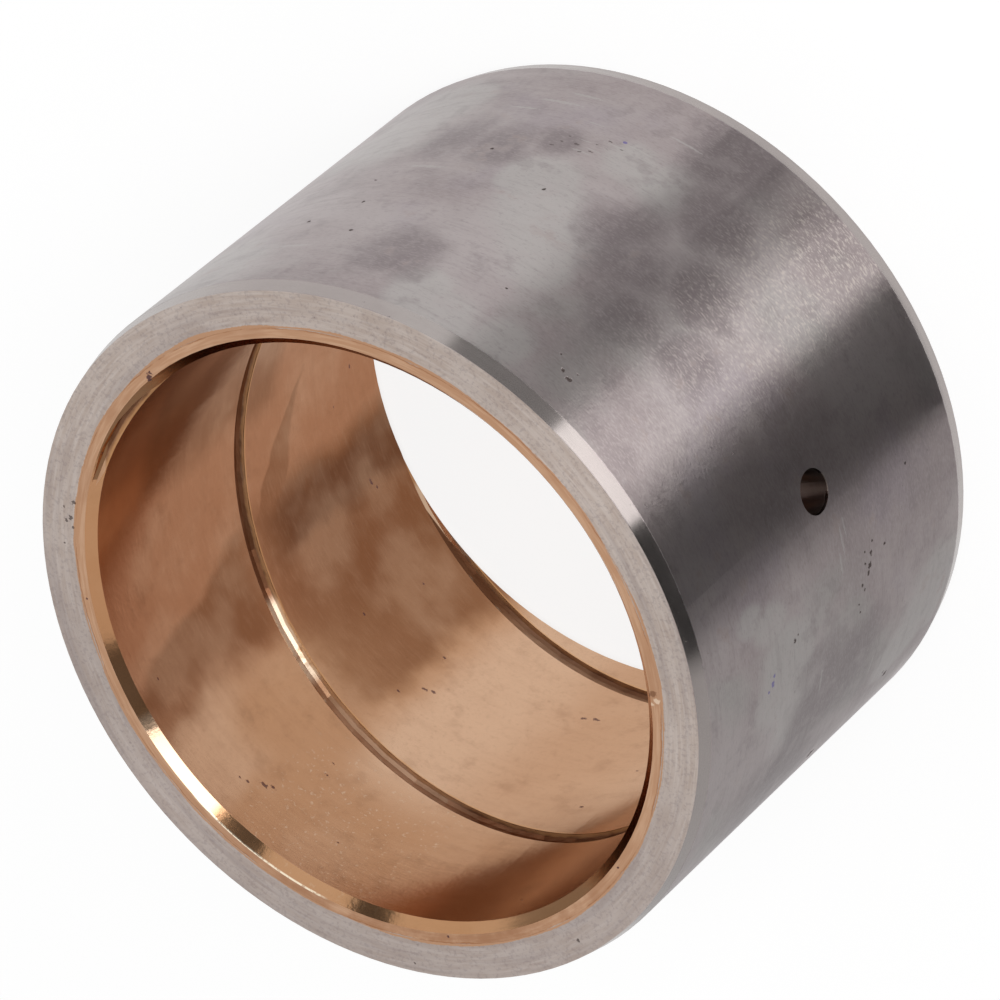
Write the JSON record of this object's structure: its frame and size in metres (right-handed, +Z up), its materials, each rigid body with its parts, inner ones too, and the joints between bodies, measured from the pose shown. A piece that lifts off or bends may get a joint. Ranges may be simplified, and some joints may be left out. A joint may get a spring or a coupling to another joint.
{
  "type": "bimetal plain bushing",
  "caption": "Cylindrical steel bushing lined with bronze, with chamfered ends, a spiral oil groove along the bore and an oil hole through the wall.",
  "frame": {"origin": "centre of the rear end face, on which the part stands", "axes": "+Z up along the bore axis, from the rear end to the front end; +X from the axis through the oil hole; +Y follows by the right-hand rule"},
  "size_m": [0.066, 0.066, 0.045],
  "materials": {
    "steel": "turned steel, satin, with stains and small pits",
    "bronze": "machined bronze, satin"
  },
  "bodies": {
    "root": {"steel_shell": "steel", "bronze_lining": "bronze"}
  },
  "joints": []
}
